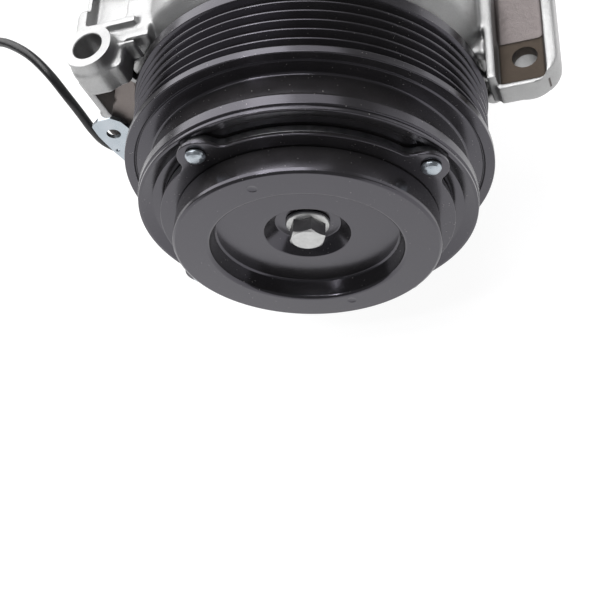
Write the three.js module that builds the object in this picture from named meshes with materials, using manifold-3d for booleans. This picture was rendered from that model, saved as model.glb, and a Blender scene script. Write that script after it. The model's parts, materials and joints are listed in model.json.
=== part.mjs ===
// Automotive air-conditioning compressor: a scroll pump driven through an electromagnetic clutch.
// Millimetres, +Z up. The shaft lies along Y with the clutch at the -Y end. Places along the shaft
// are counted from the front of the pulley's ribbed section. At the end the whole group is moved so
// that the origin lies on the shaft axis in the rear cover's flat end face.

import * as THREE from 'three';
import { mergeVertices } from 'three/addons/utils/BufferGeometryUtils.js';
import Module from 'manifold-3d';

const wasm = await Module();
wasm.setup();

// ---- Driving dimensions ----------------------------------------------------------------------

const GAP = 0.3; // clearance that pieces keep where they touch
const FINE = 28; // facets round the pulley and the clutch
const BODY = 24; // facets round the housings
const MEDIUM = 16;
const STOPS = 14; // facets round the stop rings and their seats
const COARSE = 12;
const SMALL = 10;

// Belt pulley
const GROOVES = 6;
const GROOVE_PITCH = 3.56;
const FIRST_GROOVE_Y = 4.09;
const TIP_R = 59;
const ROOT_R = 56;
const FRONT_FLANGE_R = 60.5;
const REAR_FLANGE_R = 59.5;
const RIM_R = 54.9; // plain front rim
const RIM_Y = -16.6;
const PULLEY_REAR_Y = 27.7;
const FRICTION_Y = -15.4;
const PULLEY_BORE_R = 27.7;

// Clutch hub
const DISH_R = 42.7;
const DISH_Y = -29.85;
const PLATE_R = 47.3;
const LOBE_ANGLES = [23, 113, 203, 293];
const LOBE_TIP_R = 54.4;
const LOBE_HALF_WIDTH = 7.4;
const RIVET_R = 49.4;
const PLATE_Y = [-20, -18.6];
const ARMATURE_Y = [-18.3, -15.9];
const HUB_BOLT_FLATS = 10.5;

// Shaft and scrolls
const SHAFT_R = 8.5;
const JOURNAL_R = 10;
const ORBIT = 3.8; // distance between the shaft axis and the crank pin
const PIN_R = 5.5;
const SCROLL_BASE_R = 2.6; // base circle of the involute
const SCROLL_WALL = 4;
const SCROLL_START = 4.9;
const SCROLL_END = 16.2;
const PLATE_RING_R = 34; // circle of the pins that stop the moving scroll from turning
const PIN_COUNT = 4;
const STOP_PIN_R = 2.5;
const STOP_RING_R = STOP_PIN_R + ORBIT + 0.4;

// Housings
const BODY_R = 56;
const BELL_R = 62; // the front housing is wider than the rest of the body
const SHELL_BORE_R = 48.6;
const FRONT_Y = [28.5, 60];
const SHELL_Y = [60.3, 110];
const COVER_Y = [111.4, 134];
const NOSE_R = 17.3;
const BOLT_COUNT = 5;
const BOLT_CIRCLE_R = 57;
const BOLT_START = 0.8; // degrees
const BOLT_R = 3;
const BOLT_CLEARANCE = 0.4;
const REAR_PAD_R = 11;
const REAR_PAD = 1.2; // how far the central pad stands above the rear cover
const LUG_R = 7;
const FRONT_LUG_R = 8.2;
const FLOOR_Z = -66; // plane of the mounting feet

// Mounting ears: both bolts run along Z
const LEFT_EAR = { x: -56.4, y: 24.6, r: 8.3, bore: 5, z: [40, 54] }; // z: boss foot and top
const RIGHT_EAR = { x: 73.6, y: 26.2, r: 9, bore: 4.1, z: [-5.5, 5] }; // z: boss foot and pad

// Coil lead
const LEAD_R = 1.7;
const LEAD_SIDES = 8;
const LEAD_ROUTE = [
  [-50.4, 36.3, -21], [-56, 36.3, -21], [-63, 36.4, -20.5], [-71, 36.6, -18.5], [-79, 36.9, -14],
  [-83.8, 37.3, -7.5], [-85.2, 38, -0.7], [-86.5, 40.2, 7.2], [-88.1, 42.6, 14.8], [-91.4, 47.2, 22.1],
  [-97.1, 53.5, 25.8], [-104.4, 59.8, 26.5], [-113, 65.6, 25.4], [-124, 70, 21], [-137, 71, 9],
  [-150, 69, -9], [-161, 65, -30], [-169, 59, -48], [-174.5, 50, -59.6], [-177, 38, -63.7],
  [-178, 26, -63.9],
];
const CONNECTOR = { x: -178, y: [-2, 25.7], z: [FLOOR_Z, -56.5], width: 13 };

// ---- Materials -------------------------------------------------------------------------------

const BLACK_COAT = ['black_coat', 0x222226, 0.38, 0.35];
const CAST_ALUMINIUM = ['cast_aluminium', 0xb9b9b6, 0.55, 0.8];
const MACHINED_ALUMINIUM = ['machined_aluminium', 0xcfd0d2, 0.3, 0.95];
const ZINC = ['zinc', 0xc6d2dc, 0.35, 0.85];
const STEEL = ['steel', 0x9a9da2, 0.35, 0.95];
const RUBBER = ['rubber', 0x141414, 0.85, 0];
const COPPER_COIL = ['coil_resin', 0x5a2f1a, 0.6, 0.1];
const PLASTIC = ['black_plastic', 0x17181a, 0.5, 0];

function material([name, color, roughness, metalness]) {
  const made = new THREE.MeshStandardMaterial({ color, roughness, metalness });
  made.name = name;
  return made;
}

// ---- Helpers ---------------------------------------------------------------------------------

const group = new THREE.Group();

function piece(name, finish, geometry) {
  const mesh = new THREE.Mesh(geometry, material(finish));
  mesh.name = name;
  group.add(mesh);
  return mesh;
}

function toManifold(geometry) {
  const bare = geometry.clone();
  bare.deleteAttribute('normal');
  bare.deleteAttribute('uv');
  const merged = mergeVertices(bare, 1e-4);
  return new wasm.Manifold(
    new wasm.Mesh({
      numProp: 3,
      vertProperties: new Float32Array(merged.attributes.position.array),
      triVerts: new Uint32Array(merged.index.array),
    }),
  );
}

function toGeometry(solid) {
  const mesh = solid.getMesh();
  const geometry = new THREE.BufferGeometry();
  geometry.setAttribute('position', new THREE.BufferAttribute(mesh.vertProperties, 3));
  geometry.setIndex(new THREE.BufferAttribute(mesh.triVerts, 1));
  const flat = geometry.toNonIndexed();
  flat.computeVertexNormals();
  return flat;
}

function build(base, { add = [], cut = [] }) {
  let solid = toManifold(base);
  for (const geometry of add) solid = solid.add(toManifold(geometry));
  for (const geometry of cut) solid = solid.subtract(toManifold(geometry));
  return toGeometry(solid);
}

// A turned piece. The outline is a list of [radius, y]; it closes on itself unless it meets the axis.
function turned(outline, facets = FINE) {
  let area = 0;
  outline.forEach(([r0, y0], i) => {
    const [r1, y1] = outline[(i + 1) % outline.length];
    area += r0 * y1 - r1 * y0;
  });
  const points = outline.map(([r, y]) => new THREE.Vector2(r, y));
  if (area < 0) points.reverse();
  const solid = points.every((p) => p.x > 0);
  if (solid) points.push(points[0].clone());
  return new THREE.LatheGeometry(points, facets);
}

function ring(inner, outer, y0, y1, facets = FINE) {
  return turned([[inner, y0], [outer, y0], [outer, y1], [inner, y1]], facets);
}

function rod(r, y0, y1, x = 0, z = 0, facets = SMALL) {
  const geometry = new THREE.CylinderGeometry(r, r, y1 - y0, facets);
  return geometry.translate(x, (y0 + y1) / 2, z);
}

function post(r, z0, z1, x, y, facets = MEDIUM) {
  const geometry = new THREE.CylinderGeometry(r, r, z1 - z0, facets).rotateX(Math.PI / 2);
  return geometry.translate(x, y, (z0 + z1) / 2);
}

function bar(r, x0, x1, y, z, facets = SMALL) {
  const geometry = new THREE.CylinderGeometry(r, r, x1 - x0, facets).rotateZ(Math.PI / 2);
  return geometry.translate((x0 + x1) / 2, y, z);
}

function block([x0, x1], [y0, y1], [z0, z1]) {
  const geometry = new THREE.BoxGeometry(x1 - x0, y1 - y0, z1 - z0);
  return geometry.translate((x0 + x1) / 2, (y0 + y1) / 2, (z0 + z1) / 2);
}

// A flat plate across the shaft: the outline is drawn in X and Z and spans y0 to y1.
function plateAcross(shape, y0, y1, curveSegments = 6) {
  const geometry = new THREE.ExtrudeGeometry(shape, { depth: y1 - y0, bevelEnabled: false, curveSegments });
  return geometry.rotateX(Math.PI / 2).translate(0, y1, 0);
}

// A flat plate lying level: the outline is drawn in X and Y and spans z0 to z1.
function plateLevel(shape, z0, z1, curveSegments = 6) {
  const geometry = new THREE.ExtrudeGeometry(shape, { depth: z1 - z0, bevelEnabled: false, curveSegments });
  return geometry.translate(0, 0, z0);
}

function shapeOf(points) {
  const outline = vectors(points);
  if (THREE.ShapeUtils.isClockWise(outline)) outline.reverse();
  return new THREE.Shape(outline);
}

// Points that fall on their neighbour are left out, so that arcs can be joined end to end.
function vectors(points) {
  const all = points.map(([x, y]) => new THREE.Vector2(x, y));
  return all.filter((p, i) => p.distanceTo(all[(i + all.length - 1) % all.length]) > 1e-3);
}

function arc(x, y, r, from, to, steps) {
  return range(steps + 1).map((i) => {
    const angle = from + (i / steps) * (to - from);
    return [x + r * Math.cos(angle), y + r * Math.sin(angle)];
  });
}

function roundHole(x, y, r, steps = 16) {
  return new THREE.Path(vectors(arc(x, y, r, 0, -2 * Math.PI, steps)));
}

function hexagon(flats) {
  const corner = flats / Math.sqrt(3);
  return shapeOf(range(6).map((i) => around(i * 60, corner)));
}

function range(count) {
  return Array.from({ length: count }, (_, i) => i);
}

function around(degrees, r) {
  const angle = THREE.MathUtils.degToRad(degrees);
  return [r * Math.cos(angle), r * Math.sin(angle)];
}

function boltPlaces() {
  return range(BOLT_COUNT).map((i) => around(BOLT_START + (i * 360) / BOLT_COUNT, BOLT_CIRCLE_R));
}

// ---- Belt pulley and its bearing -------------------------------------------------------------

function pulleyOutline() {
  const depth = TIP_R - ROOT_R;
  const slope = Math.tan(THREE.MathUtils.degToRad(20));
  const rootHalf = 0.44;
  const tipHalf = rootHalf + depth * slope;
  const outline = [
    [26.2, FRICTION_Y], [50, FRICTION_Y], [53.6, RIM_Y], [54.6, RIM_Y], [54.6, -15.4], [54, -15.1],
    [RIM_R, -14.6], [RIM_R, -11], [52.5, -9.7], [51.8, -1.2], [56.4, -0.5], [56.9, 0], [57.4, -0.6],
    [FRONT_FLANGE_R, -0.6], [FRONT_FLANGE_R, 1.7],
  ];
  const flangeWall = (r) => rootHalf + (r - ROOT_R) * slope;
  outline.push([60.2, FIRST_GROOVE_Y - flangeWall(60.2)]);
  for (const i of range(GROOVES)) {
    const y = FIRST_GROOVE_Y + i * GROOVE_PITCH;
    if (i > 0) outline.push([TIP_R, y - tipHalf]);
    outline.push([ROOT_R, y - rootHalf], [ROOT_R, y + rootHalf]);
    if (i < GROOVES - 1) outline.push([TIP_R, y + tipHalf]);
  }
  const last = FIRST_GROOVE_Y + (GROOVES - 1) * GROOVE_PITCH;
  outline.push([REAR_FLANGE_R, last + flangeWall(REAR_FLANGE_R)], [REAR_FLANGE_R, PULLEY_REAR_Y]);
  outline.push([49.8, PULLEY_REAR_Y], [49.8, -8.4]);
  outline.push([32.2, -8.4], [32.2, 20], [PULLEY_BORE_R, 20], [PULLEY_BORE_R, -5.3], [26.2, -5.3]);
  return outline;
}

function slot(r, width, from, to, y0, y1) {
  const start = THREE.MathUtils.degToRad(from);
  const end = THREE.MathUtils.degToRad(to);
  const shape = new THREE.Shape();
  shape.absarc(0, 0, r + width / 2, start, end, false);
  shape.absarc(0, 0, r - width / 2, end, start, true);
  return plateAcross(shape, y0, y1, 10);
}

function makePulley() {
  const slots = range(3).map((i) => slot(39, 2.4, 20 + i * 120, 120 + i * 120, -17, -7));
  piece('pulley', BLACK_COAT, build(turned(pulleyOutline()), { cut: slots }));
  piece('pulley_bearing_outer_race', STEEL, turned([
    [24.4, -5], [27.4, -5], [27.4, 15], [24.4, 15], [24.4, 7.2], [25.3, 5], [24.4, 2.8],
  ], MEDIUM));
  piece('pulley_bearing_inner_race', STEEL, turned([
    [17.7, -2.3], [20.6, -2.3], [20.6, 2.8], [19.7, 5], [20.6, 7.2], [20.6, 17.5], [17.7, 17.5],
  ], MEDIUM));
  piece('pulley_bearing_cage', STEEL, ballCage(22.5, 2.1, 5, 9, [21.8, 23.2], 3.2));
  piece('pulley_bearing_snap_ring', STEEL, splitRing(25.2, 27.4, 15.3, 16.7, 14));
}

function ballCage(r, ballR, y, count, [inner, outer], halfWidth) {
  const balls = range(count).map((i) => {
    const [x, z] = around((i * 360) / count, r);
    return new THREE.SphereGeometry(ballR, 6, 4).translate(x, y, z);
  });
  return build(ring(inner, outer, y - halfWidth, y + halfWidth, MEDIUM), { add: balls });
}

// A snap ring: a flat ring with an opening of the given number of degrees.
function splitRing(inner, outer, y0, y1, opening) {
  const from = THREE.MathUtils.degToRad(90 + opening / 2);
  const to = THREE.MathUtils.degToRad(450 - opening / 2);
  const shape = new THREE.Shape();
  shape.absarc(0, 0, outer, from, to, false);
  shape.absarc(0, 0, inner, to, from, true);
  return plateAcross(shape, y0, y1, 12);
}

// ---- Field coil and its lead -----------------------------------------------------------------

const COIL_Y = [-5.5, 28.2];

function makeCoil() {
  piece('coil_shell', STEEL, turned([
    [33, COIL_Y[0]], [34.6, COIL_Y[0]], [34.6, 24.5], [47.4, 24.5], [47.4, COIL_Y[0]], [49, COIL_Y[0]],
    [49, COIL_Y[1]], [33, COIL_Y[1]],
  ], FINE));
  piece('coil_winding', COPPER_COIL, ring(34.9, 47.1, COIL_Y[0] + 1, 24.2, FINE));
  const boot = rod(3.4, 28.5, 36.3, -44, -21);
  piece('lead_grommet', RUBBER, build(bar(3.5, -50, -40.5, 36.3, -21), { add: [boot] }));
  piece('lead_bracket', ZINC, makeBracket());
  const screwHead = rod(3.2, 29, 30.7, -51.5, -2);
  piece('bracket_screw', STEEL, build(screwHead, { add: [rod(1.6, 30, 41, -51.5, -2)] }));
  piece('coil_lead', RUBBER, makeLead());
  piece('lead_connector', PLASTIC, makeConnector());
  [['connector_blade_a', -2.6], ['connector_blade_b', 2.6]].forEach(([name, offset]) => {
    const x = CONNECTOR.x + offset;
    piece(name, STEEL, block([x - 0.4, x + 0.4], [1, 13.7], [-62.6, -59.6]));
  });
}

function makeBracket() {
  const outline = shapeOf([
    [-48.5, -7], [-60, -14], [-72, -18.5], [-76.2, -16.5], [-77.7, -12.5], [-78.8, -7], [-79.9, 2.8],
    [-79.7, 8.6], [-76.2, 11.1], [-71.2, 11.3], [-68.5, 8.4], [-67.3, 3.9], [-60, 4.4], [-48.5, 3.4],
  ]);
  const holes = [[-74, 2.9, 2.6], [-77.1, -6.4, 0.8], [-51.5, -2, 2]];
  for (const [x, z, r] of holes) outline.holes.push(roundHole(x, z, r));
  return plateAcross(outline, 31, 32.5);
}

function makeLead() {
  const points = LEAD_ROUTE.map((p) => new THREE.Vector3(...p));
  const curve = new THREE.CatmullRomCurve3(points, false, 'centripetal');
  const section = shapeOf(range(LEAD_SIDES).map((i) => around((i * 360) / LEAD_SIDES, LEAD_R)));
  return new THREE.ExtrudeGeometry(section, { steps: 32, bevelEnabled: false, extrudePath: curve });
}

function makeConnector() {
  const half = CONNECTOR.width / 2;
  const [y0, y1] = CONNECTOR.y;
  const body = block([CONNECTOR.x - half, CONNECTOR.x + half], [y0, y1], CONNECTOR.z);
  const [z0, z1] = CONNECTOR.z;
  const inside = [CONNECTOR.x - half + 1.6, CONNECTOR.x + half - 1.6];
  const mouth = block(inside, [y0 - 1, y0 + 16], [z0 + 1.4, z1 - 1.4]);
  const latch = block([CONNECTOR.x - 2.4, CONNECTOR.x + 2.4], [y0 + 3, y0 + 14], [z1 - 0.5, z1 + 1.6]);
  return build(body, { add: [latch], cut: [mouth] });
}

// ---- Clutch hub and armature -----------------------------------------------------------------

// The angle of a triangle between its sides a and b, opposite its side c.
function corner(a, b, c) {
  return Math.acos((a ** 2 + b ** 2 - c ** 2) / (2 * a * b));
}

// A disc with four rounded lobes, a central opening and a rivet hole in each lobe.
function lobedShape(discR, tipR, halfWidth, openingR, holeR) {
  const points = [];
  const lobeCentre = tipR - halfWidth;
  const fillet = 4;
  for (const degrees of LOBE_ANGLES) {
    const turn = THREE.MathUtils.degToRad(degrees);
    // Each fillet circle touches the disc and the lobe from outside.
    const toFillet = discR + fillet;
    const toLobe = halfWidth + fillet;
    const away = corner(toFillet, lobeCentre, toLobe);
    // The angle at the lobe's centre between its own axis and the line to a fillet's centre.
    const open = Math.PI - corner(lobeCentre, toLobe, toFillet);
    const [cx, cy] = around(degrees, lobeCentre);
    const [bx, by] = [toFillet * Math.cos(turn - away), toFillet * Math.sin(turn - away)];
    const [ax, ay] = [toFillet * Math.cos(turn + away), toFillet * Math.sin(turn + away)];
    points.push(...arc(bx, by, fillet, turn - away + Math.PI, turn - open + Math.PI, 3));
    points.push(...arc(cx, cy, halfWidth, turn - open, turn + open, 9));
    points.push(...arc(ax, ay, fillet, turn + open + Math.PI, turn + away + Math.PI, 3));
    points.push(...arc(0, 0, discR, turn + away, turn + Math.PI / 2 - away, 5));
  }
  const shape = shapeOf(points);
  shape.holes.push(roundHole(0, 0, openingR, FINE));
  for (const degrees of LOBE_ANGLES) shape.holes.push(roundHole(...around(degrees, RIVET_R), holeR, SMALL));
  return shape;
}

function makeArmature() {
  const lobed = lobedShape(PLATE_R, LOBE_TIP_R, LOBE_HALF_WIDTH, 30.4, 2.2);
  piece('lobed_plate', BLACK_COAT, plateAcross(lobed, PLATE_Y[0], PLATE_Y[1]));
  const backing = lobedShape(PLATE_R - 0.8, LOBE_TIP_R - 1.3, LOBE_HALF_WIDTH - 1, 30.4, 2.2);
  const disc = ring(30.4, 46.4, -18, ARMATURE_Y[1]);
  piece('armature_plate', STEEL, build(plateAcross(backing, ARMATURE_Y[0], -17.1), { add: [disc] }));
  LOBE_ANGLES.forEach((degrees, i) => {
    const [x, z] = around(degrees, RIVET_R);
    const rivet = turned([
      [0, -22.3], [1.5, -22.1], [2.6, -21.5], [3.1, -20.6], [3.1, -20.3], [1.9, -20.3], [1.9, -17.3],
      [0, -17.3],
    ], SMALL);
    piece(`clutch_rivet_${i + 1}`, ZINC, rivet.translate(x, 0, z));
  });
}

function makeHub() {
  piece('hub_dish', BLACK_COAT, turned([
    [8.8, -7], [12.5, -7], [12.5, -17.8], [15.4, -20.9], [29.4, -20.9], [32.1, -23], [32.8, -28.1],
    [40.9, -28.1], [40.2, -20.3], [42.2, -20.3], [DISH_R, -28.9], [41.8, DISH_Y], [31.3, DISH_Y],
    [30.7, -29], [29.8, -24.1], [29.2, -23.5], [14, -23.5], [10.6, -18.9], [4.3, -18.9],
    [4.3, -13.8], [8.8, -13.8],
  ]));
  piece('hub_damper_rubber', RUBBER, turned([
    [33.1, -27.8], [40.2, -27.8], [39.7, -20.4], [33.1, -20.4],
  ]));
  const flange = turned([
    [0, -20.9], [6.9, -20.5], [7.2, -20], [7.2, -19.2], [3.9, -19.2], [3.9, -2], [0, -2],
  ], COARSE);
  const head = plateAcross(hexagon(HUB_BOLT_FLATS), -26, -20.4);
  piece('hub_bolt', ZINC, build(flange, { add: [head] }));
}

// ---- Drive shaft and moving scroll -----------------------------------------------------------

const PIN_Y = [53.5, 67];

function makeShaft() {
  const turnedPart = turned([
    [0, 0], [4.2, 0], [4.2, -13.5], [SHAFT_R, -13.5], [SHAFT_R, 33], [JOURNAL_R, 34], [JOURNAL_R, 50],
    [15, 50.4], [15, 53.9], [0, 53.9],
  ], MEDIUM);
  const crankPin = rod(PIN_R, PIN_Y[0], PIN_Y[1], ORBIT, 0, MEDIUM);
  piece('drive_shaft', STEEL, build(turnedPart, { add: [crankPin] }));
  piece('main_bearing_inner_race', STEEL, turned([
    [10.3, 36.5], [13.4, 36.5], [13.4, 41], [12.7, 42.7], [13.4, 44.4], [13.4, 49.4], [10.3, 49.4],
  ], MEDIUM));
  const bush = turned([[PIN_R + GAP, 60], [10.4, 60], [10.4, 66.8], [PIN_R + GAP, 66.8]], MEDIUM);
  piece('eccentric_bush', STEEL, bush.translate(ORBIT, 0, 0));
  piece('counterweight', STEEL, makeCounterweight());
}

function makeCounterweight() {
  const eye = rod(9, 54.3, 57.6, ORBIT, 0, MEDIUM);
  const shape = new THREE.Shape();
  shape.absarc(0, 0, 24, Math.PI / 2 + 0.25, 1.5 * Math.PI - 0.25, false);
  shape.lineTo(-2, 0);
  const weight = plateAcross(shape, 54.3, 57.6, 16);
  return build(eye, { add: [weight], cut: [rod(PIN_R + GAP, 53, 59, ORBIT, 0, MEDIUM)] });
}

// One wall of the scroll: the strip between two involutes of the same base circle.
function scrollWall(y0, y1, turn) {
  const lag = SCROLL_WALL / (2 * SCROLL_BASE_R);
  const involute = (phi, shift) => {
    const along = phi - shift;
    const x = SCROLL_BASE_R * (Math.cos(phi) + along * Math.sin(phi));
    const z = SCROLL_BASE_R * (Math.sin(phi) - along * Math.cos(phi));
    return [x * Math.cos(turn) - z * Math.sin(turn), x * Math.sin(turn) + z * Math.cos(turn)];
  };
  const steps = Math.round((SCROLL_END - SCROLL_START) / 0.24);
  const angles = range(steps + 1).map((i) => SCROLL_START + (i / steps) * (SCROLL_END - SCROLL_START));
  const outer = angles.map((phi) => involute(phi, -lag));
  const inner = angles.map((phi) => involute(phi, lag)).reverse();
  return plateAcross(shapeOf([...outer, ...inner]), y0, y1);
}

const ORBIT_PLATE_Y = [63, 70.5];
const WRAP_Y = [70.2, 96.6];
const BOSS_R = 19;
const FIXED_PLATE_Y = [97, 105.6];

function stopPlaces() {
  return range(PIN_COUNT).map((i) => around(45 + i * 90, PLATE_RING_R));
}

function makeScrolls() {
  const plate = rod(43.6, ORBIT_PLATE_Y[0], ORBIT_PLATE_Y[1], 0, 0, BODY);
  const boss = rod(BOSS_R, 59, 64, 0, 0, MEDIUM);
  const pocket = rod(15.2, 58, 68.4, 0, 0, MEDIUM);
  const seats = stopPlaces().map(([x, z]) => rod(8.6, 62, 67.6, x, z, STOPS));
  const moving = build(plate, { add: [boss, scrollWall(...WRAP_Y, 0)], cut: [pocket, ...seats] });
  piece('orbiting_scroll', MACHINED_ALUMINIUM, moving.translate(ORBIT, 0, 0));
  piece('orbit_bearing', STEEL, ring(10.7, 14.9, 60, 68, MEDIUM).translate(ORBIT, 0, 0));
  stopPlaces().forEach(([x, z], i) => {
    const stop = ring(STOP_RING_R, 8.3, 63.1, 67.3, STOPS);
    piece(`stop_ring_${i + 1}`, STEEL, stop.translate(x + ORBIT, 0, z));
    piece(`stop_pin_${i + 1}`, STEEL, rod(STOP_PIN_R, 56.4, 66.6, x, z, COARSE));
  });
  const fixedPlate = rod(SHELL_BORE_R - 2 * GAP, FIXED_PLATE_Y[0], FIXED_PLATE_Y[1], 0, 0, BODY);
  piece('fixed_scroll', MACHINED_ALUMINIUM, build(fixedPlate, {
    add: [scrollWall(70.9, 97.2, Math.PI)],
    cut: [rod(4, 96, 107), rod(1.9, 99, 107, 0, -16)],
  }));
}

// ---- Housings --------------------------------------------------------------------------------

function lugs(r, y0, y1) {
  return boltPlaces().map(([x, z]) => rod(r, y0, y1, x, z, COARSE));
}

function boltHoles(y0, y1) {
  return boltPlaces().map(([x, z]) => rod(BOLT_R + BOLT_CLEARANCE, y0, y1, x, z));
}

function foot(x, [y0, y1]) {
  return {
    pad: block([x - 8, x + 8], [y0, y1], [FLOOR_Z, -44]),
    hole: post(3.4, FLOOR_Z - 1, FLOOR_Z + 13, x, (y0 + y1) / 2, SMALL),
  };
}

// The boss stands on a level arm that is closed at its outer side and at the back. It passes beside
// the pulley, so ahead of the bell it stays outside the pulley's rim.
function leftEar() {
  const { x, y, r, z } = LEFT_EAR;
  const [bottom, top] = z;
  const outside = -65;
  const arm = shapeOf([
    [outside, 22], [-62.8, 17.8], [-59.5, 15.8], [-54, 15.8], [-50.4, 17.6], [-47, 18.6], [-46.4, 21],
    [-46.4, 28.8], [-38, 28.8], [-38, 46], [outside, 46],
  ]);
  const web = shapeOf([
    [-44, 41], [outside, 41], [outside, 38], [-73.5, 12], [-74.4, 2], [-71, -7], [-64, -9], [-50, -9],
  ]);
  return {
    add: [
      post(r, bottom, top, x, y),
      plateLevel(arm, bottom, 49),
      block([outside, -62.4], [20, 46], [24, bottom + 1]),
      plateAcross(web, 33.5, 39),
      block([-63.6, -46], [45, 60], [22, 47]),
      rod(2.2, 24.5, 34, -67.5, 18, COARSE),
    ],
    bore: post(LEFT_EAR.bore, 30, 60, x, y, COARSE),
    pocket: block([-61.4, -47], [38.6, 56.5], [43.5, 60]),
  };
}

function rightEar() {
  const { x, y, r, z } = RIGHT_EAR;
  const turn = 9.5;
  const inside = 64.6;
  const tray = shapeOf([
    [inside, 13.6], ...arc(84.4 - turn, 13.6 + turn, turn, -Math.PI / 2, 0, 6), [84.4, 58], [62, 58],
    [62, 29],
  ]);
  return {
    add: [
      build(plateLevel(tray, -1, 9.4), {
        cut: [
          block([inside, 80.4], [15.4, 59], [z[1], 10]), block([inside, 80.4], [33, 56], [z[1] - 2.8, 6]),
          block([inside - 1, 79.6], [13, 16], [7.2, 10]),
        ],
      }),
      post(r, z[0], 0, x, y),
      block([62, inside + 0.4], [15, 56], [-1, 12]),
      block([62, inside + 0.4], [29, 56], [-12, 12]),
      block([40, 63], [37, 58], [-12, 5]),
      rod(3.5, 28.5, 40, 59.6, -15.8, COARSE),
    ],
    bore: post(RIGHT_EAR.bore, -12, 12, x, y, COARSE),
  };
}

function makeFrontHousing() {
  const [y0, y1] = FRONT_Y;
  const shell = turned([
    [13.6, -5], [16.8, -5], [NOSE_R, -4.5], [NOSE_R, -3.9], [16.4, -3.9], [16.4, -2.5], [NOSE_R, -2.5],
    [NOSE_R, 17.8], [20, 17.8], [20.6, 22.6], [30, 27.2], [32.4, y0], [54, y0], [58.6, 30.2],
    [61.2, 32.8], [BELL_R, 36], [BELL_R, y1], [27, y1], [27, 49.8], [20.3, 49.8], [20.3, 36.2],
    [12, 36.2], [12, 30], [13.6, 29.5],
  ], BODY);
  const feet = [foot(-26, [37, 53]), foot(26, [37, 53])];
  const ears = [leftEar(), rightEar()];
  const headSeats = boltPlaces().map(([x, z]) => rod(5.5, 27, 35.3, x, z, COARSE));
  const pinHoles = stopPlaces().map(([x, z]) => rod(STOP_PIN_R + GAP, 56, 61, x, z, COARSE));
  piece('front_housing', CAST_ALUMINIUM, build(shell, {
    add: [...lugs(FRONT_LUG_R, y0, y1), ...ears.flatMap((e) => e.add), ...feet.map((f) => f.pad)],
    cut: [
      ...boltHoles(28, 61), ...headSeats, ...feet.map((f) => f.hole), ...pinHoles,
      ...ears.map((e) => e.bore), ears[0].pocket,
      block([-72, -38], [28, 40.4], [-25.2, -16.8]), block([-72, -46.5], [28, 32.8], [-19, 8]),
      rod(1.9, 32, 42, -51.5, -2, COARSE),
    ],
  }));
}

function portBoss(x, y, r, bore, z) {
  return { add: post(r, 40, z, x, y, COARSE), cut: post(bore, 30, z + 1, x, y, COARSE) };
}

function makeShell() {
  const [y0, y1] = SHELL_Y;
  const tube = turned([
    [SHELL_BORE_R, y0], [BODY_R, y0], [BODY_R, y1], [46, y1], [46, 106], [SHELL_BORE_R, 106],
  ], BODY);
  const port = portBoss(0, 84, 13, 8, 66);
  piece('scroll_shell', CAST_ALUMINIUM, build(tube, {
    add: [build(port.add, { cut: [rod(52, 60, 112, 0, 0, BODY)] }), ...lugs(LUG_R, y0, y1)],
    cut: [
      port.cut, ...boltHoles(60, 111),
      ring(49.8, 52.7, 60, 62.4, BODY),
    ],
  }));
}

function makeRearCover() {
  const [y0, y1] = COVER_Y;
  const cup = turned([
    [0, y1 - 6], [34, y1 - 6], [41, y1 - 9], [41, y0], [BODY_R, y0], [BODY_R, y1 - 6],
    [50, y1 - REAR_PAD], [REAR_PAD_R, y1 - REAR_PAD], [REAR_PAD_R, y1], [0, y1],
  ], BODY);
  const port = portBoss(0, 121.5, 10, 6, 62);
  const feet = [foot(-26, [114, 128]), foot(26, [114, 128])];
  piece('rear_cover', CAST_ALUMINIUM, build(cup, {
    add: [
      build(port.add, { cut: [rod(44, 110, 136, 0, 0, BODY)] }),
      ...lugs(LUG_R, y0, y1 - 6), ...feet.map((f) => f.pad),
    ],
    cut: [
      port.cut, ...boltHoles(110, y1 - 8), ...feet.map((f) => f.hole), rod(5.3, 120, 136, 22, 14),
      rod(4.3, 120, 136, -22, 14),
    ],
  }));
}

function hexPlug(name, r, flats, x, z) {
  const seat = COVER_Y[1] - REAR_PAD;
  const thread = rod(r, 127, seat + 1, x, z);
  const head = plateAcross(hexagon(flats), seat + GAP, seat + 6).translate(x, 0, z);
  piece(name, ZINC, build(head, { add: [thread] }));
}

function makeFasteners() {
  boltPlaces().forEach(([x, z], i) => {
    const head = plateAcross(hexagon(8.6), 29.9, 34).translate(x, 0, z);
    const collar = rod(5, 33.6, 35, x, z);
    const shank = rod(BOLT_R, 34.6, COVER_Y[1] - 9, x, z);
    piece(`through_bolt_${i + 1}`, ZINC, build(head, { add: [collar, shank] }));
  });
  hexPlug('relief_valve', 5, 13, 22, 14);
  hexPlug('oil_plug', 4, 10, -22, 14);
}

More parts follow.
